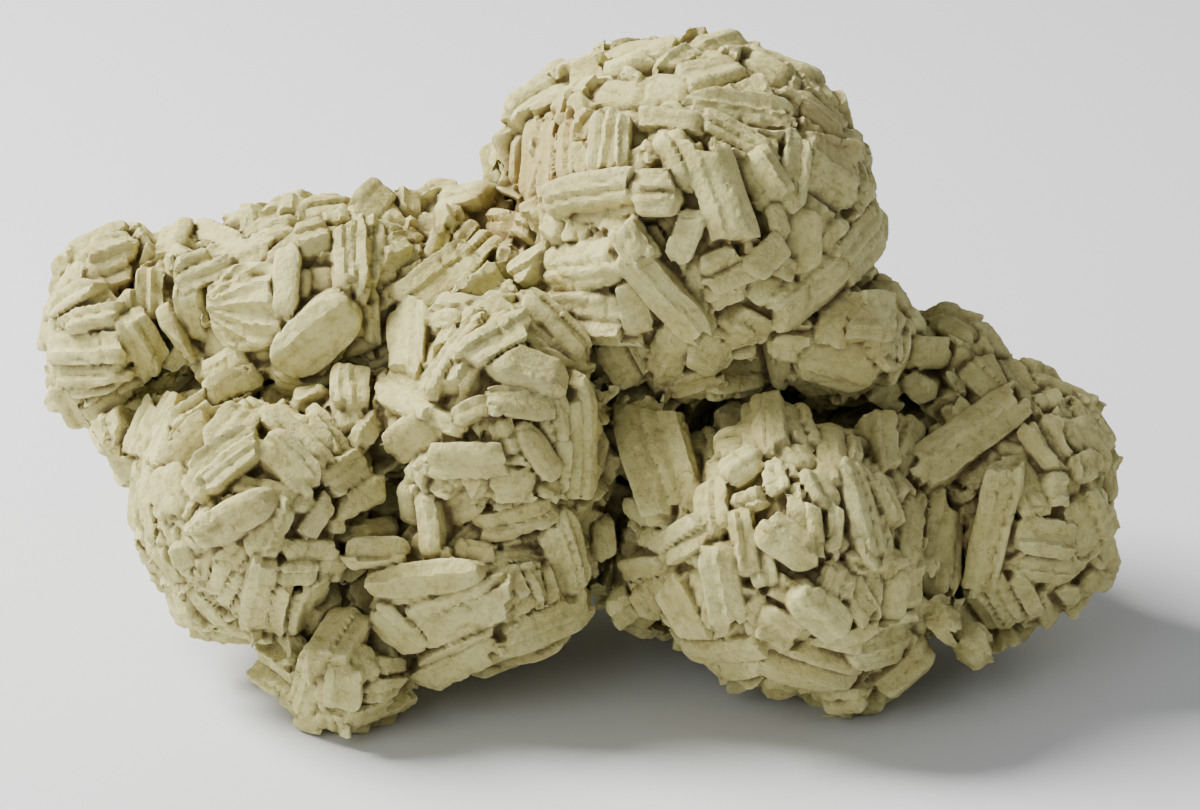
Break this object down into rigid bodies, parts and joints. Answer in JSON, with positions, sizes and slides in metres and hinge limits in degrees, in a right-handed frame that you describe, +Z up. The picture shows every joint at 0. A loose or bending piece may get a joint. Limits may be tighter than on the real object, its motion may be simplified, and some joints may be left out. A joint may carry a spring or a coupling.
{
  "type": "albite crystal specimen",
  "caption": "Intergrown cluster of chalky cream bladed crystals in rounded rosettes, free-standing on its own feet.",
  "frame": {"origin": "centre of the bounding box at the level the feet rest on", "axes": "+X along the long side to the viewer's right, -Y towards the front that is shown, +Z up"},
  "size_m": [0.1216, 0.074, 0.0708],
  "materials": {
    "albite": "matte, sugary and finely pitted cream crystal with brown iron stain in the gaps and on the shoulders"
  },
  "bodies": {
    "root": {"albite_cluster": "albite"}
  },
  "joints": []
}
